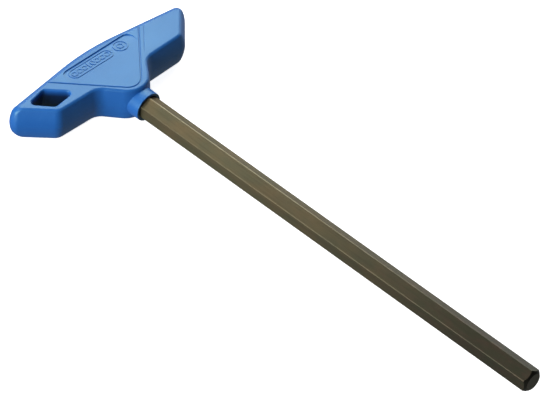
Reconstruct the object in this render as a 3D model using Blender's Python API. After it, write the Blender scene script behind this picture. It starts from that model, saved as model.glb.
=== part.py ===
"""Hexagon (Allen) key with a T-handle: a bent hexagonal steel blade moulded into a plastic handle.

Metres, +Z up. The tool lies on its back: the handle's marked face looks up (+Z), the blade runs
along +Y to its tip, and the arm with the hanging hole points to +X. The origin is at the centre of
the underside of the bounding box.
"""

import math

import bmesh
import bpy
from mathutils import Matrix, Vector

# Overall size
OVERALL_LENGTH = 0.2700
HANDLE_THICKNESS = 0.0180

# Blade: hexagon bar with two flats facing +X and -X, bent once inside the plain arm
ACROSS_FLATS = 0.0100
BEND_RADIUS = 0.0150
LEG_BACKSET = 0.0140
LEG_REACH = 0.0380
TIP_CHAMFER = 0.0010
BEND_STEPS = 10

# Handle outline at mid height. A backset is a distance in +Y from the crown of the palm side.
CROWN_ROUNDING = 0.1250
PALM_SLOPE = math.radians(7.5)
ARM_END_REACH = 0.0578
HEEL_REACH = 0.0392
HEEL_BACKSET = 0.0253
ARMPIT_REACH = 0.0152
ARMPIT_BACKSET = 0.0259
NOSE_BACKSET = 0.0445
ARM_END_ROUNDING = 0.0041
HEEL_ROUNDING = 0.0065
ARMPIT_ROUNDING = 0.0069
NOSE_ROUNDING = 0.0114
ARC_STEPS = 6

# Walls: barrel shaped between the two faces, with a rounded rim at each face
PALM_BULGE = 0.00245
ARM_END_BULGE = 0.00245
FLANK_BULGE = 0.0019
NOSE_BULGE = 0.0010
FRONT_RIM_RADIUS = 0.0011
FRONT_PALM_RIM_RADIUS = 0.0030
BACK_RIM_RADIUS = 0.0027
BACK_PALM_RIM_RADIUS = 0.0058
RIM_STEPS = 4
WALL_STEPS = 4

# Collar where the blade leaves the handle
COLLAR_ROOT_BACKSET = 0.0326
COLLAR_MOUTH_BACKSET = 0.04175
COLLAR_ROOT_RADIUS = 0.0073
COLLAR_MOUTH_RADIUS = 0.0070
COLLAR_SIDES = 32

# Hanging hole, a slanted window through one arm: its corners' reaches and backsets
HOLE_OUTER_PALM = (0.0447, 0.0114)
HOLE_INNER_PALM = (0.0337, 0.0090)
HOLE_INNER_FLANK = (0.0244, 0.0188)
HOLE_OUTER_FLANK = (0.0369, 0.0202)
HOLE_ROUNDING = 0.0020

FIT_GAP = 0.0003

CROWN_Y = -OVERALL_LENGTH / 2
TIP_Y = OVERALL_LENGTH / 2
MID_Z = HANDLE_THICKNESS / 2


def clear_scene():
    for existing in list(bpy.data.objects):
        bpy.data.objects.remove(existing)


def make_material(name, colour, roughness, metallic):
    material = bpy.data.materials.new(name)
    material.use_nodes = True
    shader = material.node_tree.nodes["Principled BSDF"]
    shader.inputs["Base Color"].default_value = (*colour, 1.0)
    shader.inputs["Roughness"].default_value = roughness
    shader.inputs["Metallic"].default_value = metallic
    return material


def add_object(name, bm, material=None):
    """Makes a linked object from a bmesh, with its faces turned outwards."""
    bmesh.ops.recalc_face_normals(bm, faces=bm.faces)
    mesh = bpy.data.meshes.new(name)
    bm.to_mesh(mesh)
    bm.free()
    if material is not None:
        mesh.materials.append(material)
        mesh.shade_smooth()
        mesh.set_sharp_from_angle(angle=math.radians(30))
    result = bpy.data.objects.new(name, mesh)
    bpy.context.scene.collection.objects.link(result)
    return result


def combine(target, tool, operation):
    """Adds a live Boolean modifier and keeps its tool out of sight."""
    modifier = target.modifiers.new(f"{operation.lower()}_{tool.name}", "BOOLEAN")
    modifier.operation = operation
    modifier.solver = "EXACT"
    modifier.object = tool
    tool.hide_render = True
    tool.display_type = "WIRE"


def line_offset(start, end, inset):
    """The directed line from start to end, moved inset to its left."""
    direction = (end - start).normalized()
    return start + Vector((-direction.y, direction.x)) * inset, direction


def meeting_point(first, second):
    """Where two lines, each a point and a direction, cross."""
    gap = second[0] - first[0]
    along = gap.cross(second[1]) / first[1].cross(second[1])
    return first[0] + first[1] * along


def rounded_loop(corners, insets, roundings):
    """Counter-clockwise loop of points: each side is moved inwards by its own inset, and each corner
    is an arc. Side i runs from corner i to corner i + 1."""
    count = len(corners)
    sides = [line_offset(corners[i], corners[(i + 1) % count], insets[i]) for i in range(count)]
    points = []
    for i in range(count):
        before = sides[i - 1]
        after = sides[i]
        corner = meeting_point(before, after)
        turn = before[1].angle_signed(after[1])
        convex = turn < 0
        smallest_inset = min(insets[i - 1], insets[i])
        radius = roundings[i] - smallest_inset if convex else roundings[i] + smallest_inset
        radius = max(radius, roundings[i] / 4)
        setback = radius * math.tan(abs(turn) / 2)
        first = corner - before[1] * setback
        side_normal = Vector((-before[1].y, before[1].x)) * (1 if convex else -1)
        centre = first + side_normal * radius
        for step in range(ARC_STEPS + 1):
            swing = Matrix.Rotation(-turn * step / ARC_STEPS, 2)
            points.append(centre + swing @ (first - centre))
    return points


def wall_inset(depth, rim_radius, bulge):
    """How far the wall stands back at a depth below a face: barrel curve plus quarter-round rim."""
    rise = max(rim_radius - depth, 0.0)
    rim = rim_radius - math.sqrt(rim_radius * rim_radius - rise * rise)
    lean = 1 - depth / (HANDLE_THICKNESS / 2)
    return rim + bulge * lean * lean


def wall_depths(rim_radii):
    """Depths below a face that follow its rim curves and then the wall down to mid height."""
    depths = {0.0}
    for radius in rim_radii:
        for step in range(1, RIM_STEPS + 1):
            depths.add(radius * (1 - math.cos(math.radians(90 * step / RIM_STEPS))))
    below_rims = max(rim_radii)
    for step in range(1, WALL_STEPS):
        depths.add(below_rims + (HANDLE_THICKNESS / 2 - below_rims) * step / WALL_STEPS)
    return sorted(depths)


def add_ring(bm, points, z):
    ring = [bm.verts.new((point.x, point.y, z)) for point in points]
    return [bm.edges.new((ring[i - 1], ring[i])) for i in range(len(ring))]


def loft(bm, rings):
    """Bridges rings of edges in turn and closes both ends."""
    for lower, upper in zip(rings, rings[1:]):
        bmesh.ops.bridge_loops(bm, edges=lower + upper)
    for end in (rings[0], rings[-1]):
        bmesh.ops.contextual_create(bm, geom=end)


def handle_outline():
    """Corners and each corner's rounding, counter-clockwise from the crown of the palm side."""
    crown_backset = -CROWN_ROUNDING * (1 / math.cos(PALM_SLOPE) - 1)
    arm_end_backset = crown_backset + ARM_END_REACH * math.tan(PALM_SLOPE)
    half = [
        (ARM_END_REACH, arm_end_backset, ARM_END_ROUNDING),
        (HEEL_REACH, HEEL_BACKSET, HEEL_ROUNDING),
        (ARMPIT_REACH, ARMPIT_BACKSET, ARMPIT_ROUNDING),
    ]
    other_half = [(-reach, backset, rounding) for reach, backset, rounding in reversed(half)]
    whole = [(0.0, crown_backset, CROWN_ROUNDING), *half, (0.0, NOSE_BACKSET, NOSE_ROUNDING), *other_half]
    corners = [Vector((reach, CROWN_Y + backset)) for reach, backset, rounding in whole]
    roundings = [rounding for reach, backset, rounding in whole]
    return corners, roundings


def wall_ring(bm, depth, z, rim_radius, palm_rim_radius):
    """One level of the handle. Its sides run from the crown round one arm to the nose and back."""
    corners, roundings = handle_outline()
    half = [
        wall_inset(depth, palm_rim_radius, PALM_BULGE),
        wall_inset(depth, rim_radius, ARM_END_BULGE),
        wall_inset(depth, rim_radius, FLANK_BULGE),
        wall_inset(depth, rim_radius, NOSE_BULGE),
    ]
    return add_ring(bm, rounded_loop(corners, half + half[::-1], roundings), z)


def handle_body():
    back_rims = (BACK_RIM_RADIUS, BACK_PALM_RIM_RADIUS)
    front_rims = (FRONT_RIM_RADIUS, FRONT_PALM_RIM_RADIUS)
    bm = bmesh.new()
    rings = [wall_ring(bm, depth, depth, *back_rims) for depth in wall_depths(back_rims)]
    rings.append(wall_ring(bm, MID_Z, MID_Z, *front_rims))
    for depth in reversed(wall_depths(front_rims)):
        rings.append(wall_ring(bm, depth, HANDLE_THICKNESS - depth, *front_rims))
    loft(bm, rings)
    return bm


def collar():
    length = COLLAR_MOUTH_BACKSET - COLLAR_ROOT_BACKSET
    middle = CROWN_Y + (COLLAR_MOUTH_BACKSET + COLLAR_ROOT_BACKSET) / 2
    place = Matrix.Translation((0, middle, MID_Z)) @ Matrix.Rotation(-math.pi / 2, 4, "X")
    bm = bmesh.new()
    bmesh.ops.create_cone(
        bm,
        cap_ends=True,
        segments=COLLAR_SIDES,
        radius1=COLLAR_ROOT_RADIUS,
        radius2=COLLAR_MOUTH_RADIUS,
        depth=length,
        matrix=place,
    )
    return bm


def hexagon_ring(bm, across_flats, place):
    """A hexagon round the place's Z axis, with two of its flats facing along the place's X axis."""
    radius = across_flats / math.sqrt(3)
    made = bmesh.ops.create_circle(bm, segments=6, radius=radius, matrix=place)
    return list({edge for vert in made["verts"] for edge in vert.link_edges})


def bent_bar(across_flats, leg_reach, end_y, chamfer):
    """Hexagon bar from its end at end_y, straight back to the bend, then out along the plain arm."""
    bend_y = CROWN_Y + LEG_BACKSET + BEND_RADIUS
    lay_down = Matrix.Rotation(-math.pi / 2, 4, "X")
    bm = bmesh.new()
    rings = []
    if chamfer > 0:
        small_end = across_flats - 2 * chamfer
        rings.append(hexagon_ring(bm, small_end, Matrix.Translation((0, end_y, MID_Z)) @ lay_down))
    straight_end = Matrix.Translation((0, end_y - chamfer, MID_Z)) @ lay_down
    rings.append(hexagon_ring(bm, across_flats, straight_end))
    bend_start = Matrix.Translation((0, bend_y, MID_Z)) @ lay_down
    bend_centre = Vector((-BEND_RADIUS, bend_y, MID_Z))
    to_centre = Matrix.Translation(bend_centre)
    for step in range(BEND_STEPS + 1):
        swing = Matrix.Rotation(-math.pi / 2 * step / BEND_STEPS, 4, "Z")
        rings.append(hexagon_ring(bm, across_flats, to_centre @ swing @ to_centre.inverted() @ bend_start))
    leg_end = to_centre @ swing @ to_centre.inverted() @ bend_start
    leg_end = Matrix.Translation((-(leg_reach - BEND_RADIUS), 0, 0)) @ leg_end
    rings.append(hexagon_ring(bm, across_flats, leg_end))
    loft(bm, rings)
    return bm


def hanging_hole():
    window = (HOLE_INNER_PALM, HOLE_OUTER_PALM, HOLE_OUTER_FLANK, HOLE_INNER_FLANK)
    corners = [Vector((reach, CROWN_Y + backset)) for reach, backset in window]
    outline = rounded_loop(corners, [0.0] * len(corners), [HOLE_ROUNDING] * len(corners))
    bm = bmesh.new()
    overrun = HANDLE_THICKNESS / 4
    loft(bm, [add_ring(bm, outline, z) for z in (-overrun, HANDLE_THICKNESS + overrun)])
    return bm


def build():
    clear_scene()
    blue_plastic = make_material("blue_plastic", (0.10, 0.31, 0.60), 0.42, 0.0)
    phosphated_steel = make_material("phosphated_steel", (0.13, 0.11, 0.07), 0.45, 0.8)
    add_object("hex_blade", bent_bar(ACROSS_FLATS, LEG_REACH, TIP_Y, TIP_CHAMFER), phosphated_steel)
    handle = add_object("t_handle", handle_body(), blue_plastic)
    overrun_y = CROWN_Y + COLLAR_MOUTH_BACKSET + BEND_RADIUS
    pocket = bent_bar(ACROSS_FLATS + 2 * FIT_GAP, LEG_REACH + FIT_GAP, overrun_y, 0.0)
    combine(handle, add_object("collar_shape", collar()), "UNION")
    combine(handle, add_object("blade_pocket_cutter", pocket), "DIFFERENCE")
    combine(handle, add_object("hanging_hole_cutter", hanging_hole()), "DIFFERENCE")


build()
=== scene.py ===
import math

import bmesh
import bpy
from mathutils import Matrix, Vector


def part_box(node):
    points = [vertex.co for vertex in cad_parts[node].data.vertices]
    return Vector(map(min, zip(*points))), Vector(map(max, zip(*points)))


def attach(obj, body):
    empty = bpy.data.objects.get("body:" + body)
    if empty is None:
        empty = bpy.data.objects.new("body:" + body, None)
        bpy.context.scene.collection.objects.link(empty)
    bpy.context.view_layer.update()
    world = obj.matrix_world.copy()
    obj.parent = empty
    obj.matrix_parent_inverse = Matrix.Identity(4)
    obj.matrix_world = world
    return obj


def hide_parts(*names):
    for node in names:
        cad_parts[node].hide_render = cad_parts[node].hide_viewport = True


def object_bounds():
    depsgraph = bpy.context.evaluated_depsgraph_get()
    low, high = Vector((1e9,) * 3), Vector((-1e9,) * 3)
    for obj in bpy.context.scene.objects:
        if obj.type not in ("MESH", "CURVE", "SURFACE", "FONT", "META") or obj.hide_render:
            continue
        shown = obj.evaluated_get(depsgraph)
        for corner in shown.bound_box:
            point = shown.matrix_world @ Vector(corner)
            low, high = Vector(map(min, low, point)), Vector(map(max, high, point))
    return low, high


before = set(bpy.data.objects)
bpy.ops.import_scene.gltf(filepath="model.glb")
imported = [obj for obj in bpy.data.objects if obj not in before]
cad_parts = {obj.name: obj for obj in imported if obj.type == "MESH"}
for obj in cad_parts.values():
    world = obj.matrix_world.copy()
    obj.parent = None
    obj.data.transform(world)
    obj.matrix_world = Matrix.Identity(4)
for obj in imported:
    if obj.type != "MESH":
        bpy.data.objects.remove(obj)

cad_low, cad_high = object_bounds()

# ---------------------------------------------------------------------------------------------
# Blade.
# A hexagon bar of tempered alloy steel, drawn, cut, bent once and dipped in a dark phosphate bath,
# with a chamfer turned on its tip. It goes into the mould first, its short leg in the plain arm.
# ---------------------------------------------------------------------------------------------
MM = 0.001
blade_low, blade_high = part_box("hex_blade")
MID_Z = (cad_low.z + cad_high.z) / 2
TIP_Y = blade_high.y
LEG_END_X = blade_low.x
ACROSS_FLATS = 10 * MM
BAR_ROUNDING = 0.6 * MM
BAR_CORNER_STEPS = 4
BEND_RADIUS = 15 * MM
BEND_Y = blade_low.y + ACROSS_FLATS / 2 + BEND_RADIUS
BEND_STEPS = 24
LEAST_ROUNDING = 0.25
EVEN_FLATS_WEIGHT = 80
BLADE_SHARP = 25


def add_piece(name, bm, material=None):
    """Makes a linked object from a bmesh, its faces turned outwards, its place in its mesh."""
    bmesh.ops.recalc_face_normals(bm, faces=bm.faces)
    mesh = bpy.data.meshes.new(name)
    bm.to_mesh(mesh)
    bm.free()
    if material is not None:
        mesh.materials.append(material)
    piece = bpy.data.objects.new(name, mesh)
    bpy.context.scene.collection.objects.link(piece)
    return piece


def carve(target, tool_bm, operation="DIFFERENCE"):
    """Cuts a shape away from a piece, or joins it on, and keeps only the result."""
    tool = add_piece("shaping_tool", tool_bm)
    modifier = target.modifiers.new("carve", "BOOLEAN")
    modifier.operation = operation
    modifier.solver = "EXACT"
    modifier.object = tool
    depsgraph = bpy.context.evaluated_depsgraph_get()
    result = bpy.data.meshes.new_from_object(target.evaluated_get(depsgraph))
    target.modifiers.clear()
    before = target.data
    target.data = result
    bpy.data.meshes.remove(before)
    bpy.data.objects.remove(tool)


def finish_surface(piece, sharp_angle):
    """Smooth shading with crisp corners; flat faces keep their own normal up to their edge."""
    piece.data.shade_smooth()
    piece.data.set_sharp_from_angle(angle=math.radians(sharp_angle))
    weighted = piece.modifiers.new("even_flats", "WEIGHTED_NORMAL")
    weighted.weight = EVEN_FLATS_WEIGHT
    weighted.keep_sharp = True


def line_offset(start, end, inset):
    """The directed line from start to end, moved inset to its left."""
    direction = (end - start).normalized()
    return start + Vector((-direction.y, direction.x)) * inset, direction


def meeting_point(first, second):
    """Where two lines, each a point and a direction, cross."""
    gap = second[0] - first[0]
    along = gap.cross(second[1]) / first[1].cross(second[1])
    return first[0] + first[1] * along


def corner_arc(before, after, radius, steps):
    """Points of the arc that rounds the corner between two directed lines."""
    corner = meeting_point(before, after)
    turn = before[1].angle_signed(after[1])
    first = corner - before[1] * radius * math.tan(abs(turn) / 2)
    side = 1 if turn < 0 else -1
    centre = first + Vector((-before[1].y, before[1].x)) * side * radius
    return [centre + Matrix.Rotation(-turn * i / steps, 2) @ (first - centre) for i in range(steps + 1)]


def rounded_loop(corners, insets, roundings, steps):
    """Counter-clockwise loop: each side is moved inwards by its own inset, and each corner is an arc
    that keeps at least LEAST_ROUNDING of its own radius."""
    count = len(corners)
    sides = [line_offset(corners[i], corners[(i + 1) % count], insets[i]) for i in range(count)]
    points = []
    for i in range(count):
        convex = sides[i - 1][1].angle_signed(sides[i][1]) < 0
        least = min(insets[i - 1], insets[i])
        radius = roundings[i] - least if convex else roundings[i] + least
        radius = max(radius, roundings[i] * LEAST_ROUNDING)
        points += corner_arc(sides[i - 1], sides[i], radius, steps[i])
    return points


def closed_ring(bm, places):
    """A closed ring of edges through places in turn."""
    verts = [bm.verts.new(place) for place in places]
    return [bm.edges.new((verts[i - 1], verts[i])) for i in range(len(verts))]


def loft(bm, rings):
    """Bridges rings of edges in turn and closes both ends."""
    for lower, upper in zip(rings, rings[1:]):
        bmesh.ops.bridge_loops(bm, edges=lower + upper)
    for end in (rings[0], rings[-1]):
        bmesh.ops.contextual_create(bm, geom=end)


def bar_section(across_flats):
    """Hexagon with rounded corners in its own plane, two flats facing along its x axis."""
    corner_radius = across_flats / math.sqrt(3)
    corners = []
    for i in range(6):
        angle = math.radians(90 + 60 * i)
        corners.append(Vector((math.cos(angle), math.sin(angle))) * corner_radius)
    return rounded_loop(corners, [0.0] * 6, [BAR_ROUNDING] * 6, [BAR_CORNER_STEPS] * 6)


def bent_bar(across_flats, end_y, leg_end_x):
    """Hexagon bar from end_y straight back to the bend, then out along the plain arm."""
    lay_down = Matrix.Rotation(-math.pi / 2, 4, "X")
    bend_start = Matrix.Translation((0, BEND_Y, MID_Z)) @ lay_down
    to_centre = Matrix.Translation((-BEND_RADIUS, BEND_Y, MID_Z))
    stations = [Matrix.Translation((0, end_y, MID_Z)) @ lay_down]
    for step in range(BEND_STEPS + 1):
        swing = Matrix.Rotation(-math.pi / 2 * step / BEND_STEPS, 4, "Z")
        stations.append(to_centre @ swing @ to_centre.inverted() @ bend_start)
    stations.append(Matrix.Translation((leg_end_x + BEND_RADIUS, 0, 0)) @ stations[-1])
    section = bar_section(across_flats)
    bm = bmesh.new()
    loft(bm, [closed_ring(bm, [station @ point.to_3d() for point in section]) for station in stations])
    return bm


TURNED_SIDES = 96
MERGE_DISTANCE = 0.002 * MM
TIP_FACE_RADIUS = 4.15 * MM
CHAMFER_START = 1.82 * MM
CUT_RADIUS = ACROSS_FLATS / math.sqrt(3) + 0.2 * MM
CUT_PAST_TIP = 0.5 * MM


def turned(profile, closed=False):
    """Turns a profile of (radius, y) points round the blade's axis, closed or with its ends on it."""
    bm = bmesh.new()
    verts = [bm.verts.new((radius, y, MID_Z)) for radius, y in profile]
    edges = [bm.edges.new(pair) for pair in zip(verts, verts[1:])]
    if closed:
        edges.append(bm.edges.new((verts[-1], verts[0])))
    bmesh.ops.spin(
        bm,
        geom=verts + edges,
        cent=(0, 0, MID_Z),
        axis=(0, 1, 0),
        angle=math.tau,
        steps=TURNED_SIDES,
        use_merge=True,
    )
    bmesh.ops.remove_doubles(bm, verts=bm.verts, dist=MERGE_DISTANCE)
    return bm


def tip_turning():
    """The ring of metal that the lathe takes off the tip to leave its chamfer."""
    slope = (CUT_RADIUS - TIP_FACE_RADIUS) / CHAMFER_START
    outside = ACROSS_FLATS
    profile = [
        (TIP_FACE_RADIUS - slope * CUT_PAST_TIP, TIP_Y + CUT_PAST_TIP),
        (CUT_RADIUS, TIP_Y - CHAMFER_START),
        (outside, TIP_Y - CHAMFER_START),
        (outside, TIP_Y + CUT_PAST_TIP),
    ]
    return turned(profile, closed=True)


CHAMFER_FACING = (0.3, 0.95)
CHAMFER_REACH = 2.8 * MM


def mark_chamfer(piece):
    """Stores which faces the lathe cut, for the painted shade that darkens them."""
    least, most = CHAMFER_FACING
    turned_faces = piece.data.attributes.new("turned", "FLOAT", "FACE")
    for face, value in zip(piece.data.polygons, turned_faces.data):
        on_tip = face.center.y > TIP_Y - CHAMFER_REACH
        value.value = 1.0 if on_tip and least < face.normal.y < most else 0.0


def new_material(name):
    """A new material made of nodes, and its shader."""
    material = bpy.data.materials.new(name)
    material.use_nodes = True
    return material, material.node_tree.nodes["Principled BSDF"]


def noise(tree, place, waves, detail, stretch=(1, 1, 1)):
    """Noise over a place, with so many waves in a metre."""
    mapping = tree.nodes.new("ShaderNodeMapping")
    mapping.inputs["Scale"].default_value = stretch
    tree.links.new(place, mapping.inputs["Vector"])
    texture = tree.nodes.new("ShaderNodeTexNoise")
    texture.inputs["Scale"].default_value = waves
    texture.inputs["Detail"].default_value = detail
    tree.links.new(mapping.outputs["Vector"], texture.inputs["Vector"])
    return texture.outputs["Fac"]


def remap(tree, value, span, result=(0, 1)):
    """Carries a value's span over to the span of the result and holds it at both ends."""
    node = tree.nodes.new("ShaderNodeMapRange")
    for socket, limit in zip(("From Min", "From Max", "To Min", "To Max"), (*span, *result)):
        node.inputs[socket].default_value = limit
    tree.links.new(value, node.inputs["Value"])
    return node.outputs["Result"]


def blend_colours(tree, factor, low, high):
    """Mixes two colours, each a constant or another node's colour."""
    node = tree.nodes.new("ShaderNodeMix")
    node.data_type = "RGBA"
    tree.links.new(factor, node.inputs["Factor"])
    for socket, colour in ((node.inputs[6], low), (node.inputs[7], high)):
        if isinstance(colour, tuple):
            socket.default_value = (*colour, 1.0)
        else:
            tree.links.new(colour, socket)
    return node.outputs[2]


def maths(tree, operation, first, second=0.0):
    """A sum, product or other working of values, each a number or another node's value."""
    node = tree.nodes.new("ShaderNodeMath")
    node.operation = operation
    for socket, value in ((node.inputs[0], first), (node.inputs[1], second)):
        if isinstance(value, (int, float)):
            socket.default_value = value
        else:
            tree.links.new(value, socket)
    return node.outputs[0]


def stored(tree, name):
    """The value that the mesh stores under a name."""
    node = tree.nodes.new("ShaderNodeAttribute")
    node.attribute_name = name
    return node.outputs["Fac"]


def add_bump(tree, shader, *layers):
    """Chains bump layers of (height, strength, distance) into the shader's normal."""
    normal = None
    for height, strength, distance in layers:
        bump = tree.nodes.new("ShaderNodeBump")
        bump.inputs["Strength"].default_value = strength
        bump.inputs["Distance"].default_value = distance
        tree.links.new(height, bump.inputs["Height"])
        if normal is not None:
            tree.links.new(normal, bump.inputs["Normal"])
        normal = bump.outputs["Normal"]
    tree.links.new(normal, shader.inputs["Normal"])


STEEL_BROWN = (0.195, 0.152, 0.080)
STEEL_OLIVE = (0.150, 0.138, 0.078)
STEEL_DARK = (0.080, 0.068, 0.040)
STEEL_BRIGHT = (0.20, 0.18, 0.115)
# Painted shade colours for the tip end of the bar, in two tones.
STEEL_TIP_SHADE = (0.040, 0.042, 0.026)
STEEL_TIP_SHADE_RED = (0.054, 0.042, 0.029)
# Painted shade colour for the chamfer on the tip.
CHAMFER_SHADE = (0.022, 0.021, 0.015)

# Patterns of the coat as waves per metre, detail and stretch, and the spans of them that show.
COAT_PATCHES = (130, 4, (1, 0.45, 1))
COAT_PATCH_SPAN = (0.38, 0.62)
DRAWN_LINES = (1500, 3, (1, 0.02, 1))
DRAWN_LINE_SPAN = (0.5, 0.72)
DRAWN_LINE_SHADE = 0.35
CRYSTALS = (3200, 3)
CRYSTAL_SPAN = (0.3, 0.7)
CHIPS = (420, 5, (1, 0.3, 1))
CHIP_SPAN = (0.35, 0.6)
CHIP_WEAR = (0.35, 1)
TIP_SHADE_PATCH_SPAN = (0.42, 0.60)

# Rubbed corners start this far from the bar's axis, and a painted highlight makes them brighter the
# higher they lie. Painted shade darkens the bar from the first of these places along it to the second.
RUBBED_CORNER = (5.54 * MM, 5.66 * MM)
TOP_HIGHLIGHT_SPAN = (2.8 * MM, 5.5 * MM)
TOP_HIGHLIGHT = (0.15, 1.0)
TIP_SHADE_SPAN = (-45 * MM, 105 * MM)
TIP_SHADE_MOST = 0.9
STEEL_METALLIC = 0.8
STEEL_ROUGHNESS = (0.40, 0.52)
WEAR_POLISH = -0.12
DRAWN_LINE_BUMP = (0.12, 0.03 * MM)
CRYSTAL_BUMP = (0.10, 0.02 * MM)


def phosphated_steel():
    """Dark crystalline coat over drawn steel with corners rubbed towards bare metal, painted highlight on
    the upper corners and painted shade at the tip.
    """
    material, shader = new_material("phosphated_steel")
    tree = material.node_tree
    place = tree.nodes.new("ShaderNodeTexCoord").outputs["Object"]
    centred = tree.nodes.new("ShaderNodeMapping")
    centred.inputs["Location"].default_value = (0, 0, -MID_Z)
    tree.links.new(place, centred.inputs["Vector"])
    split = tree.nodes.new("ShaderNodeSeparateXYZ")
    tree.links.new(centred.outputs["Vector"], split.inputs["Vector"])
    x, y, z = split.outputs

    patches = remap(tree, noise(tree, place, *COAT_PATCHES), COAT_PATCH_SPAN)
    coat = blend_colours(tree, patches, STEEL_BROWN, STEEL_OLIVE)
    drawn = noise(tree, place, *DRAWN_LINES)
    lines = remap(tree, drawn, DRAWN_LINE_SPAN, (0, DRAWN_LINE_SHADE))
    lined = blend_colours(tree, lines, coat, STEEL_DARK)

    squares = maths(tree, "ADD", maths(tree, "MULTIPLY", x, x), maths(tree, "MULTIPLY", z, z))
    edge = remap(tree, maths(tree, "SQRT", squares), RUBBED_CORNER)
    chips = noise(tree, place, *CHIPS)
    chipped = maths(tree, "MULTIPLY", edge, remap(tree, chips, CHIP_SPAN, CHIP_WEAR))
    # Rubbed corners, with a painted highlight that makes them brighter the higher they lie.
    wear_and_top_highlight = maths(tree, "MULTIPLY", chipped, remap(tree, z, TOP_HIGHLIGHT_SPAN, TOP_HIGHLIGHT))
    rubbed = blend_colours(tree, wear_and_top_highlight, lined, STEEL_BRIGHT)

    # Painted shade darkens the bar towards its tip, in patches of two dark tones.
    tip_shade_colour = blend_colours(tree, remap(tree, chips, TIP_SHADE_PATCH_SPAN), STEEL_TIP_SHADE, STEEL_TIP_SHADE_RED)
    tip_shaded = blend_colours(tree, remap(tree, y, TIP_SHADE_SPAN, (0, TIP_SHADE_MOST)), rubbed, tip_shade_colour)
    # Painted shade on the chamfer faces.
    tipped = blend_colours(tree, stored(tree, "turned"), tip_shaded, CHAMFER_SHADE)
    tree.links.new(tipped, shader.inputs["Base Color"])

    shader.inputs["Metallic"].default_value = STEEL_METALLIC
    crystals = noise(tree, place, *CRYSTALS)
    rough = remap(tree, crystals, CRYSTAL_SPAN, STEEL_ROUGHNESS)
    polished = maths(tree, "ADD", rough, maths(tree, "MULTIPLY", wear_and_top_highlight, WEAR_POLISH))
    tree.links.new(polished, shader.inputs["Roughness"])
    add_bump(tree, shader, (drawn, *DRAWN_LINE_BUMP), (crystals, *CRYSTAL_BUMP))
    return material


blade = add_piece("hexagon_blade", bent_bar(ACROSS_FLATS, TIP_Y, LEG_END_X), phosphated_steel())
carve(blade, tip_turning())
mark_chamfer(blade)
finish_surface(blade, BLADE_SHARP)
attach(blade, "root")
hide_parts("hex_blade")

# ---------------------------------------------------------------------------------------------
# T-handle.
# One injection moulding in stiff blue plastic, shot straight round the bent end of the blade. Its
# two faces are flat, its walls are barrel shaped so that it leaves the mould, and it has a collar
# where the blade comes out and a window to hang it by.
# ---------------------------------------------------------------------------------------------
handle_low, handle_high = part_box("t_handle")
CROWN_Y = handle_low.y
FACE_Z = handle_high.z
HALF_THICKNESS = (handle_high.z - handle_low.z) / 2

PALM_SLOPE = math.radians(7.5)
CROWN_ROUNDING = 125 * MM
ARM_END_REACH = 57.8 * MM
HEEL = Vector((39.2, 25.3)) * MM
ARMPIT = Vector((15.2, 25.9)) * MM
NOSE_BACKSET = 44.5 * MM
ARM_END_ROUNDING = 4.1 * MM
HEEL_ROUNDING = 6.5 * MM
ARMPIT_ROUNDING = 6.9 * MM
NOSE_ROUNDING = 11.4 * MM
CROWN_STEPS = 24
CORNER_STEPS = 12

PALM_BULGE = 2.45 * MM
END_BULGE = 2.45 * MM
FLANK_BULGE = 1.9 * MM
NOSE_BULGE = 1.0 * MM
FRONT_RIM = 1.1 * MM
FRONT_PALM_RIM = 3.0 * MM
BACK_RIM = 2.7 * MM
BACK_PALM_RIM = 5.8 * MM
RIM_STEPS = 8
WALL_STEPS = 6
PARTING_RIDGE = 0.04 * MM
PARTING_HALF_WIDTH = 0.14 * MM
HANDLE_SHARP = 32


def at_backset(reach, backset):
    """The place so far out along the arms and so far back from the crown of the palm side."""
    return Vector((reach, CROWN_Y + backset))


def in_plan(places):
    """Places on a face from a list of (reach, backset) in millimetres."""
    return [at_backset(reach * MM, backset * MM) for reach, backset in places]


def flat_ring(bm, points, z):
    return closed_ring(bm, [(point.x, point.y, z) for point in points])


def handle_corners():
    """The outline's corners as (reach, backset, rounding), counter-clockwise from the crown."""
    crown_backset = -CROWN_ROUNDING * (1 / math.cos(PALM_SLOPE) - 1)
    arm_end_backset = crown_backset + ARM_END_REACH * math.tan(PALM_SLOPE)
    half = [
        (ARM_END_REACH, arm_end_backset, ARM_END_ROUNDING),
        (HEEL.x, HEEL.y, HEEL_ROUNDING),
        (ARMPIT.x, ARMPIT.y, ARMPIT_ROUNDING),
    ]
    other_half = [(-reach, backset, rounding) for reach, backset, rounding in reversed(half)]
    return [(0.0, crown_backset, CROWN_ROUNDING), *half, (0.0, NOSE_BACKSET, NOSE_ROUNDING), *other_half]


def wall_inset(depth, rim, bulge):
    """How far a wall stands back at a depth below a face: barrel curve plus quarter-round rim."""
    rise = max(rim - depth, 0.0)
    lean = max(1 - depth / HALF_THICKNESS, 0.0)
    ridge = PARTING_RIDGE if depth > HALF_THICKNESS - PARTING_HALF_WIDTH / 2 else 0.0
    return rim - math.sqrt(rim * rim - rise * rise) + bulge * lean * lean - ridge


def wall_depths(rims):
    """Depths below a face where the wall needs a ring: round both rims, then down to the ridge."""
    depths = {0.0}
    for rim in rims:
        depths |= {rim * (1 - math.cos(math.radians(90 * i / RIM_STEPS))) for i in range(1, RIM_STEPS + 1)}
    start = max(rims)
    end = HALF_THICKNESS - PARTING_HALF_WIDTH
    depths |= {start + (end - start) * i / WALL_STEPS for i in range(1, WALL_STEPS + 1)}
    return sorted(depths)


def wall_ring(bm, depth, z, rim, palm_rim):
    outline = handle_corners()
    corners = [at_backset(reach, backset) for reach, backset, rounding in outline]
    roundings = [rounding for reach, backset, rounding in outline]
    half = [
        wall_inset(depth, palm_rim, PALM_BULGE),
        wall_inset(depth, rim, END_BULGE),
        wall_inset(depth, rim, FLANK_BULGE),
        wall_inset(depth, rim, NOSE_BULGE),
    ]
    insets = half + half[::-1]
    steps = [CROWN_STEPS] + [CORNER_STEPS] * (len(corners) - 1)
    return flat_ring(bm, rounded_loop(corners, insets, roundings, steps), z)


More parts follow.
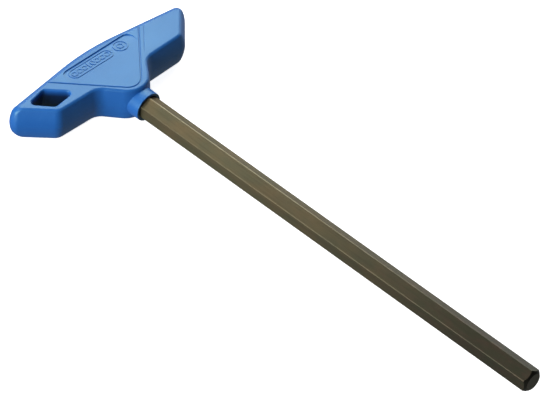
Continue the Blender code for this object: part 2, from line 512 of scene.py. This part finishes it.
def handle_body():
    """The moulding's outer shape, ring by ring from its back face over the ridge to its front."""
    back = (BACK_RIM, BACK_PALM_RIM)
    front = (FRONT_RIM, FRONT_PALM_RIM)
    bm = bmesh.new()
    rings = [wall_ring(bm, depth, handle_low.z + depth, *back) for depth in wall_depths(back)]
    rings.append(wall_ring(bm, HALF_THICKNESS, MID_Z, *front))
    rings += [wall_ring(bm, depth, FACE_Z - depth, *front) for depth in reversed(wall_depths(front))]
    loft(bm, rings)
    return bm


# The collar flares out of the nose at its root, tapers towards its mouth and has a small round on
# its mouth edge. Its mouth is relieved round the blade, which comes out of a thin-lipped cup.
COLLAR_ROOT = 32.5 * MM
COLLAR_FLARE_END = 36.8 * MM
COLLAR_MOUTH = 41.75 * MM
COLLAR_FLARE_RADIUS = 8.6 * MM
COLLAR_WAIST_RADIUS = 7.15 * MM
COLLAR_MOUTH_RADIUS = 7.05 * MM
COLLAR_EDGE_ROUND = 0.34 * MM
FLARE_STEPS = 10
EDGE_STEPS = 5
RELIEF_MOUTH_RADIUS = 5.95 * MM
RELIEF_FLOOR_RADIUS = 5.85 * MM
RELIEF_FLOOR = 40.3 * MM


def collar():
    root = CROWN_Y + COLLAR_ROOT
    flare_end = CROWN_Y + COLLAR_FLARE_END
    mouth = CROWN_Y + COLLAR_MOUTH
    profile = [(0.0, root)]
    for i in range(FLARE_STEPS + 1):
        part = i / FLARE_STEPS
        spread = (1 - part) ** 3
        radius = COLLAR_WAIST_RADIUS + (COLLAR_FLARE_RADIUS - COLLAR_WAIST_RADIUS) * spread
        profile.append((radius, root + (flare_end - root) * part))
    for i in range(EDGE_STEPS + 1):
        angle = math.radians(90 * i / EDGE_STEPS)
        radius = COLLAR_MOUTH_RADIUS - COLLAR_EDGE_ROUND * (1 - math.cos(angle))
        profile.append((radius, mouth - COLLAR_EDGE_ROUND * (1 - math.sin(angle))))
    profile.append((0.0, mouth))
    return turned(profile)


def collar_relief():
    floor = CROWN_Y + RELIEF_FLOOR
    mouth = CROWN_Y + COLLAR_MOUTH
    beyond = mouth + (mouth - floor)
    wide = RELIEF_MOUTH_RADIUS + (RELIEF_MOUTH_RADIUS - RELIEF_FLOOR_RADIUS)
    return turned([(0.0, floor), (RELIEF_FLOOR_RADIUS, floor), (wide, beyond), (0.0, beyond)])


# The hanging window is slanted like the arm end and has a soft rim on both faces.
WINDOW_CORNERS = [(33.7, 9.0), (44.7, 11.4), (36.9, 20.2), (24.4, 18.8)]
WINDOW_ROUNDING = 1.7 * MM
WINDOW_RIM = 0.9 * MM
WINDOW_DRAFT = 0.15 * MM


def window_cutter():
    levels = [(MID_Z, 0.0)]
    for i in range(RIM_STEPS + 1):
        angle = math.radians(90 * i / RIM_STEPS)
        drop = WINDOW_RIM * (1 - math.sin(angle))
        levels.append((FACE_Z - drop, WINDOW_DRAFT + WINDOW_RIM * (1 - math.cos(angle))))
    levels.append((FACE_Z + WINDOW_RIM, WINDOW_DRAFT + WINDOW_RIM))
    levels = [(2 * MID_Z - z, spread) for z, spread in reversed(levels[1:])] + levels
    corners = in_plan(WINDOW_CORNERS)
    bm = bmesh.new()
    rings = []
    for z, spread in levels:
        loop = rounded_loop(corners, [-spread] * 4, [WINDOW_ROUNDING] * 4, [CORNER_STEPS] * 4)
        rings.append(flat_ring(bm, loop, z))
    loft(bm, rings)
    return bm


# Shallow lines on the faces: the V-shaped border of the middle panel runs along both flanks and
# round the nose, and a fine witness line crosses the plain arm beside it. A line's half section is
# given as (half width, height over the face) in millimetres.
PANEL_LINE = [(33.5, 1.54), (0.73, 37.45), (-33.0, 0.7)]
PANEL_NOSE_ROUNDING = 6.2 * MM
PANEL_GROOVE = [(0.52, 0.4), (0.44, 0.0), (0.32, -0.10), (0.20, -0.42)]
WITNESS_LINE = [(-31.0, 6.5), (-17.6, 20.4)]
WITNESS_GROOVE = [(0.24, 0.4), (0.20, 0.0), (0.12, -0.16)]
LINE_STEPS = 16


def groove_cutter(path, half_section, face_z, up):
    """A groove swept along a flat path in the face at face_z, whose outside is up, 1 or -1."""
    section = [(-width, height) for width, height in half_section]
    section += [(width, height) for width, height in reversed(half_section)]
    bm = bmesh.new()
    rings = []
    for i, point in enumerate(path):
        ahead = path[min(i + 1, len(path) - 1)]
        behind = path[max(i - 1, 0)]
        along = (ahead - behind).normalized()
        across = Vector((-along.y, along.x)) * MM
        rings.append(closed_ring(
            bm,
            [(*(point + across * width), face_z + up * height * MM) for width, height in section],
        ))
    loft(bm, rings)
    return bm


def panel_path():
    start, nose, end = in_plan(PANEL_LINE)
    down = line_offset(start, nose, 0.0)
    back = line_offset(nose, end, 0.0)
    return [start, *corner_arc(down, back, PANEL_NOSE_ROUNDING, LINE_STEPS), end]


# The marked field is a shallow rounded recess that is deep along the palm side and runs out to
# nothing across the panel.
FIELD_CORNERS = [(-21.3, 6.3), (21.4, 6.6), (19.9, 18.0), (-20.2, 18.0)]
FIELD_ROUNDINGS = [3.4 * MM, 3.4 * MM, 1.0 * MM, 1.0 * MM]
FIELD_DEPTH = 0.62 * MM
FIELD_DEEP_BACKSET = 6.4 * MM
FIELD_RUN_OUT_BACKSET = 13.9 * MM
FIELD_DRAFT = 0.3 * MM


def field_height(point):
    """Height of the sloping floor of the marked field."""
    run = (point.y - CROWN_Y - FIELD_DEEP_BACKSET) / (FIELD_RUN_OUT_BACKSET - FIELD_DEEP_BACKSET)
    return FACE_Z - FIELD_DEPTH * (1 - run)


def field_cutter():
    corners = in_plan(FIELD_CORNERS)
    steps = [CORNER_STEPS] * 4
    floor_loop = rounded_loop(corners, [0.0] * 4, FIELD_ROUNDINGS, steps)
    top_loop = rounded_loop(corners, [-FIELD_DRAFT] * 4, FIELD_ROUNDINGS, steps)
    bm = bmesh.new()
    floor_ring = closed_ring(bm, [(point.x, point.y, field_height(point)) for point in floor_loop])
    loft(bm, [floor_ring, flat_ring(bm, top_loop, FACE_Z + FIELD_DEPTH)])
    return bm


# Round witness marks of the ejector pins are left on the back face.
EJECTOR_SPOTS = [(-40.0, 14.5), (-22.0, 15.0), (20.0, 15.0), (0.0, 27.0)]
EJECTOR_RADIUS = 2.2 * MM
EJECTOR_DEPTH = 0.12 * MM
EJECTOR_SIDES = 40


def ejector_marks():
    bm = bmesh.new()
    for spot in in_plan(EJECTOR_SPOTS):
        bmesh.ops.create_cone(
            bm,
            cap_ends=True,
            segments=EJECTOR_SIDES,
            radius1=EJECTOR_RADIUS,
            radius2=EJECTOR_RADIUS,
            depth=2 * EJECTOR_DEPTH,
            matrix=Matrix.Translation((spot.x, spot.y, handle_low.z)),
        )
    return bm


# The pocket that the bar leaves in the moulding is a hair wider than the bar and open at the mouth.
POCKET_GAP = 0.06 * MM
POCKET_PAST_MOUTH = 5 * MM


def pocket():
    end_y = CROWN_Y + COLLAR_MOUTH + POCKET_PAST_MOUTH
    return bent_bar(ACROSS_FLATS + 2 * POCKET_GAP, end_y, LEG_END_X - POCKET_GAP)


# Hands rub the rims where they lean about halfway between the face and the wall. The window's walls
# and the collar's mouth get painted shade.
RIM_LEAN = 0.7
RIM_LEAN_SPAN = 0.3
FACE_LEAN = 0.9
MOUTH_FACING = 0.5


def mark_rims(piece):
    """Stores how far each point lies on a rounded rim, for the rubbed look there."""
    rim = piece.data.attributes.new("rim", "FLOAT", "POINT")
    for vertex, value in zip(piece.data.vertices, rim.data):
        value.value = max(0.0, 1 - abs(abs(vertex.normal.z) - RIM_LEAN) / RIM_LEAN_SPAN)


def mark_painted_shade(piece):
    """Stores which faces are walls of the window or lie in the collar's mouth, for the painted shade
    there.
    """
    corners = in_plan(WINDOW_CORNERS)
    lip_y = CROWN_Y + COLLAR_MOUTH - COLLAR_EDGE_ROUND
    shade_mask = piece.data.attributes.new("shade_mask", "FLOAT", "FACE")
    for face, value in zip(piece.data.polygons, shade_mask.data):
        inside = True
        for i, start in enumerate(corners):
            side = corners[(i + 1) % len(corners)] - start
            inside = inside and side.cross(face.center.xy - start) > -side.length * WINDOW_RIM
        in_window = inside and abs(face.normal.z) < FACE_LEAN
        in_mouth = face.center.y > lip_y and face.normal.y > MOUTH_FACING
        value.value = 1.0 if in_window or in_mouth else 0.0


BLUE = (0.013, 0.125, 0.490)
BLUE_CLOUD = (0.017, 0.142, 0.530)
BLUE_RUBBED = (0.030, 0.185, 0.580)
# Painted shade colour for the window's walls and the collar's mouth.
BLUE_PAINTED_SHADE = (0.005, 0.015, 0.065)

# Patterns of the plastic as waves per metre, detail and stretch, and the spans of them that show.
CLOUD = (60, 3)
CLOUD_SPAN = (0.35, 0.65)
GRAIN = (2600, 3)
GRAIN_SPAN = (0.3, 0.7)
SCUFFS = (260, 6, (1, 3.5, 1))
SCUFF_SPAN = (0.56, 0.74)
SCUFF_SHADE = 0.30
SCUFF_ROUGH_SPAN = (0.58, 0.75)
SCUFF_ROUGHNESS = 0.07
RIM_SHADE = 0.35
RIM_POLISH = -0.06

# Painted shade gets darker from the first depth below a face to the second.
SHADE_START_DEPTH = 0.8 * MM
SHADE_FULL_DEPTH = 3.6 * MM
SHADE_MOST = 0.92
PLASTIC_ROUGHNESS = (0.40, 0.48)
PLASTIC_IOR = 1.5
PLASTIC_SPECULAR = 0.76
PLASTIC_SPECULAR_TINT = (0.56, 1.0, 0.68, 1.0)
GRAIN_BUMP = (0.22, 0.04 * MM)
CLOUD_BUMP = (0.05, 0.2 * MM)


def blue_plastic():
    """Coloured through, with a spark-eroded mould texture that is rubbed smoother on the rims, and painted
    shade in the window and the collar's mouth.
    """
    material, shader = new_material("blue_plastic")
    tree = material.node_tree
    place = tree.nodes.new("ShaderNodeTexCoord").outputs["Object"]
    rim = stored(tree, "rim")
    cloud = noise(tree, place, *CLOUD)
    clouded = blend_colours(tree, remap(tree, cloud, CLOUD_SPAN), BLUE, BLUE_CLOUD)
    scuffs = noise(tree, place, *SCUFFS)
    scratched = remap(tree, scuffs, SCUFF_SPAN, (0, SCUFF_SHADE))
    handled = maths(tree, "ADD", scratched, maths(tree, "MULTIPLY", rim, RIM_SHADE))
    rubbed = blend_colours(tree, handled, clouded, BLUE_RUBBED)

    # Painted shade darkens the window's walls and the collar's mouth the deeper they lie below a face.
    split = tree.nodes.new("ShaderNodeSeparateXYZ")
    tree.links.new(place, split.inputs["Vector"])
    from_middle = maths(tree, "ABSOLUTE", maths(tree, "SUBTRACT", split.outputs["Z"], MID_Z))
    shade_span = (HALF_THICKNESS - SHADE_START_DEPTH, HALF_THICKNESS - SHADE_FULL_DEPTH)
    depth = remap(tree, from_middle, shade_span, (0, SHADE_MOST))
    painted_shade = maths(tree, "MULTIPLY", stored(tree, "shade_mask"), depth)
    tree.links.new(blend_colours(tree, painted_shade, rubbed, BLUE_PAINTED_SHADE), shader.inputs["Base Color"])

    grain = noise(tree, place, *GRAIN)
    rough = remap(tree, grain, GRAIN_SPAN, PLASTIC_ROUGHNESS)
    worn = maths(tree, "ADD", rough, remap(tree, scuffs, SCUFF_ROUGH_SPAN, (0, SCUFF_ROUGHNESS)))
    polished = maths(tree, "ADD", worn, maths(tree, "MULTIPLY", rim, RIM_POLISH))
    tree.links.new(polished, shader.inputs["Roughness"])
    shader.inputs["IOR"].default_value = PLASTIC_IOR
    shader.inputs["Specular IOR Level"].default_value = PLASTIC_SPECULAR
    shader.inputs["Specular Tint"].default_value = PLASTIC_SPECULAR_TINT
    add_bump(tree, shader, (grain, *GRAIN_BUMP), (cloud, *CLOUD_BUMP))
    return material


plastic = blue_plastic()
handle = add_piece("t_handle_moulding", handle_body(), plastic)
carve(handle, collar(), "UNION")
carve(handle, collar_relief())
carve(handle, window_cutter())
carve(handle, groove_cutter(panel_path(), PANEL_GROOVE, FACE_Z, 1))
carve(handle, groove_cutter(panel_path(), PANEL_GROOVE, handle_low.z, -1))
carve(handle, groove_cutter(in_plan(WITNESS_LINE), WITNESS_GROOVE, FACE_Z, 1))
carve(handle, field_cutter())
carve(handle, ejector_marks())
carve(handle, pocket())
mark_rims(handle)
mark_painted_shade(handle)
finish_surface(handle, HANDLE_SHARP)
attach(handle, "root")
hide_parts("t_handle")

# ---------------------------------------------------------------------------------------------
# Raised marking.
# Low relief of the same moulding, in the sloping marked field: a long rounded border round the
# size of the key and hexagons, and beside it a sign for a screw with a hexagon socket.
# ---------------------------------------------------------------------------------------------
RELIEF = 0.27 * MM
SUNK = 0.25 * MM
LINE_WIDTH = 0.58 * MM
BORDER_CENTRE = Vector((6.1, 10.55)) * MM
BORDER_LENGTH = 25.4 * MM
BORDER_WIDTH = 6.3 * MM
BORDER_END_ROUNDNESS = 0.98
SIGN_CENTRE = Vector((-12.1, 10.6)) * MM
SIGN_RADIUS = 3.6 * MM
SIGN_SIDES = 48
SIGN_HEXAGON = 3.3 * MM
GLYPH_HEXAGON = 3.0 * MM
GLYPH_SPACING = 3.05 * MM
GLYPHS_EACH_SIDE = 3
FIRST_GLYPH = 3.85 * MM
NUMBER_HEIGHT = 3.6 * MM
NUMBER_SHARE_OF_FONT = 0.69
NUMBER_THICKENING = 0.10 * MM
RELIEF_MERGE_DISTANCE = 0.005 * MM
RELIEF_EDGE_ROUND = 0.14 * MM
RELIEF_EDGE_ANGLE = math.radians(40)
RELIEF_SHARP = 50
FIELD_TILT = math.atan(FIELD_DEPTH / (FIELD_RUN_OUT_BACKSET - FIELD_DEEP_BACKSET))


def on_field(centre):
    """Lays flat shapes drawn round the origin on the sloping field, reading from the blade's side."""
    spot = at_backset(centre.x, centre.y)
    lie = Matrix.Translation((spot.x, spot.y, field_height(spot)))
    return lie @ Matrix.Rotation(FIELD_TILT, 4, "X") @ Matrix.Rotation(math.pi, 4, "Z")


def raised_line(bm, outer, inner, place):
    """A raised line between two flat loops with the same number of points."""
    edges = []
    for loop in (outer, inner):
        edges += closed_ring(bm, [place @ Vector((point.x, point.y, -SUNK)) for point in loop])
    underside = bmesh.ops.bridge_loops(bm, edges=edges)["faces"]
    raised = bmesh.ops.extrude_face_region(bm, geom=underside, use_keep_orig=True)["geom"]
    top = [item for item in raised if isinstance(item, bmesh.types.BMVert)]
    bmesh.ops.translate(bm, verts=top, vec=place.to_3x3() @ Vector((0, 0, SUNK + RELIEF)))


def regular_loop(count, radius):
    return [Vector((math.cos(math.tau * i / count), math.sin(math.tau * i / count))) * radius
            for i in range(count)]


def hexagon_line(bm, across_flats, place):
    corner = across_flats / math.sqrt(3)
    thin = LINE_WIDTH / math.cos(math.pi / 6)
    raised_line(bm, regular_loop(6, corner), regular_loop(6, corner - thin), place)


def border_loop(inset):
    half_length = BORDER_LENGTH / 2 - inset
    half_width = BORDER_WIDTH / 2 - inset
    corners = [Vector((x * half_length, y * half_width)) for x, y in ((-1, -1), (1, -1), (1, 1), (-1, 1))]
    return rounded_loop(corners, [0.0] * 4, [half_width * BORDER_END_ROUNDNESS] * 4, [CORNER_STEPS] * 4)


def add_number(bm, digits, height, place):
    """Raised figures, centred on the place."""
    curve = bpy.data.curves.new("figures", "FONT")
    curve.body = digits
    curve.align_x = "CENTER"
    curve.align_y = "CENTER"
    curve.size = height / NUMBER_SHARE_OF_FONT
    curve.offset = NUMBER_THICKENING
    curve.extrude = (RELIEF + SUNK) / 2
    text = bpy.data.objects.new("figures", curve)
    bpy.context.scene.collection.objects.link(text)
    bpy.context.view_layer.update()
    mesh = bpy.data.meshes.new_from_object(text.evaluated_get(bpy.context.evaluated_depsgraph_get()))
    mesh.transform(place @ Matrix.Translation((0, 0, (RELIEF - SUNK) / 2)))
    bm.from_mesh(mesh)
    bpy.data.objects.remove(text)
    bpy.data.curves.remove(curve)
    bpy.data.meshes.remove(mesh)


def marking():
    bm = bmesh.new()
    raised_line(bm, border_loop(0.0), border_loop(LINE_WIDTH), on_field(BORDER_CENTRE))
    for number in range(GLYPHS_EACH_SIDE):
        reach = Vector((FIRST_GLYPH + number * GLYPH_SPACING, 0))
        hexagon_line(bm, GLYPH_HEXAGON, on_field(BORDER_CENTRE + reach))
        hexagon_line(bm, GLYPH_HEXAGON, on_field(BORDER_CENTRE - reach))
    add_number(bm, "10", NUMBER_HEIGHT, on_field(BORDER_CENTRE))
    sign_outside = regular_loop(SIGN_SIDES, SIGN_RADIUS)
    sign_inside = regular_loop(SIGN_SIDES, SIGN_RADIUS - LINE_WIDTH)
    raised_line(bm, sign_outside, sign_inside, on_field(SIGN_CENTRE))
    hexagon_line(bm, SIGN_HEXAGON, on_field(SIGN_CENTRE))
    bmesh.ops.remove_doubles(bm, verts=bm.verts, dist=RELIEF_MERGE_DISTANCE)
    return bm


relief = add_piece("raised_marking", marking(), plastic)
soft_edges = relief.modifiers.new("soft_edges", "BEVEL")
soft_edges.width = RELIEF_EDGE_ROUND
soft_edges.segments = 2
soft_edges.limit_method = "ANGLE"
soft_edges.angle_limit = RELIEF_EDGE_ANGLE
finish_surface(relief, RELIEF_SHARP)
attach(relief, "root")

# ---------------------------------------------------------------------------------------------
# Studio.
# Plain pale floor over a faintly glowing sheet that only reflections show, five soft lights, of
# which the broad one above the palm side and the one beside the holed arm are the main ones, and
# a long lens.
# ---------------------------------------------------------------------------------------------
FLOOR_RADIUS = 6.0
FLOOR_SIDES = 64
FLOOR_DROP = 0.2 * MM
FLOOR_COLOUR = (0.9, 0.9, 0.9)
FLOOR_ROUGHNESS = 0.9
FLOOR_GLOW = (1.0, 1.0, 1.0)
FLOOR_GLOW_STRENGTH = 0.9
BOUNCE_DROP = 1.0 * MM
BOUNCE_COLOUR = (0.0, 0.0, 0.0)
BOUNCE_ROUGHNESS = 0.5
BOUNCE_GLOW = (0.96, 1.0, 0.98)
BOUNCE_GLOW_STRENGTH = 0.3


def glowing_disc(name, drop, colour, roughness, glow, strength):
    """A round sheet under the tool that gives off some light but doesn't light up dull surfaces."""
    bm = bmesh.new()
    bmesh.ops.create_circle(bm, cap_ends=True, segments=FLOOR_SIDES, radius=FLOOR_RADIUS)
    bmesh.ops.translate(bm, verts=bm.verts, vec=(0, 0, cad_low.z - drop))
    material, shader = new_material(name)
    shader.inputs["Base Color"].default_value = (*colour, 1.0)
    shader.inputs["Roughness"].default_value = roughness
    shader.inputs["Emission Color"].default_value = (*glow, 1.0)
    shader.inputs["Emission Strength"].default_value = strength
    disc = add_piece(name, bm, material)
    disc.visible_diffuse = False
    return disc


floor = glowing_disc("floor", FLOOR_DROP, FLOOR_COLOUR, FLOOR_ROUGHNESS, FLOOR_GLOW, FLOOR_GLOW_STRENGTH)
floor.visible_glossy = False
bounce = glowing_disc("bounce_sheet", BOUNCE_DROP, BOUNCE_COLOUR, BOUNCE_ROUGHNESS, BOUNCE_GLOW,
                      BOUNCE_GLOW_STRENGTH)
bounce.visible_camera = False

# Each light's name, direction from the handle, distance, width and height in metres, and watts.
LIGHTS = [
    ("overhead", (-0.53, -0.52, 0.67), 1.0, 1.0, 0.85, 10.5),
    ("side", (1.0, 0.0, 0.30), 1.0, 0.6, 0.6, 10),
    ("blade_card", (0.31, -0.58, 0.76), 1.3, 0.35, 0.35, 1.3),
    ("fill", (0.8, 0.0, 0.80), 2.2, 1.2, 1.2, 4),
    ("low_back", (-0.99, -0.05, 0.15), 0.75, 0.3, 0.3, 0.55),
]
LIGHTS_AIM = Vector((0, CROWN_Y + 20 * MM, MID_Z))


def soft_light(name, direction, distance, width, height, power):
    """A rectangular area light that looks at the handle from a direction."""
    data = bpy.data.lights.new(name, "AREA")
    data.shape = "RECTANGLE"
    data.size = width
    data.size_y = height
    data.energy = power
    light = bpy.data.objects.new(name, data)
    bpy.context.scene.collection.objects.link(light)
    light.location = LIGHTS_AIM + Vector(direction).normalized() * distance
    light.rotation_euler = (LIGHTS_AIM - light.location).to_track_quat("-Z", "Y").to_euler()


for light_facts in LIGHTS:
    soft_light(*light_facts)

SURROUND_COLOUR = (0.95, 0.98, 1.0, 1.0)
SURROUND_STRENGTH = 0.08
world = bpy.data.worlds.new("studio")
bpy.context.scene.world = world
world.use_nodes = True
background = world.node_tree.nodes["Background"]
background.inputs["Color"].default_value = SURROUND_COLOUR
background.inputs["Strength"].default_value = SURROUND_STRENGTH

CAMERA_LOCATION = Vector((912.68, 774.09, 1164.14)) * MM
CAMERA_AIM = Vector((0.82, -14.20, 8.61)) * MM
CAMERA_ROLL = math.radians(4.69)
CAMERA_LENS = 251.39
CAMERA_SENSOR_WIDTH = 36
CAMERA_NEAREST = 0.05
CAMERA_FARTHEST = 50
camera_data = bpy.data.cameras.new("camera")
camera_data.sensor_width = CAMERA_SENSOR_WIDTH
camera_data.lens = CAMERA_LENS
camera_data.clip_start = CAMERA_NEAREST
camera_data.clip_end = CAMERA_FARTHEST
camera = bpy.data.objects.new("camera", camera_data)
bpy.context.scene.collection.objects.link(camera)
camera.location = CAMERA_LOCATION
look = (CAMERA_AIM - CAMERA_LOCATION).to_track_quat("-Z", "Y").to_matrix().to_4x4()
camera.rotation_euler = (look @ Matrix.Rotation(CAMERA_ROLL, 4, "Z")).to_euler()
bpy.context.scene.camera = camera
bpy.context.scene.view_settings.view_transform = "Standard"
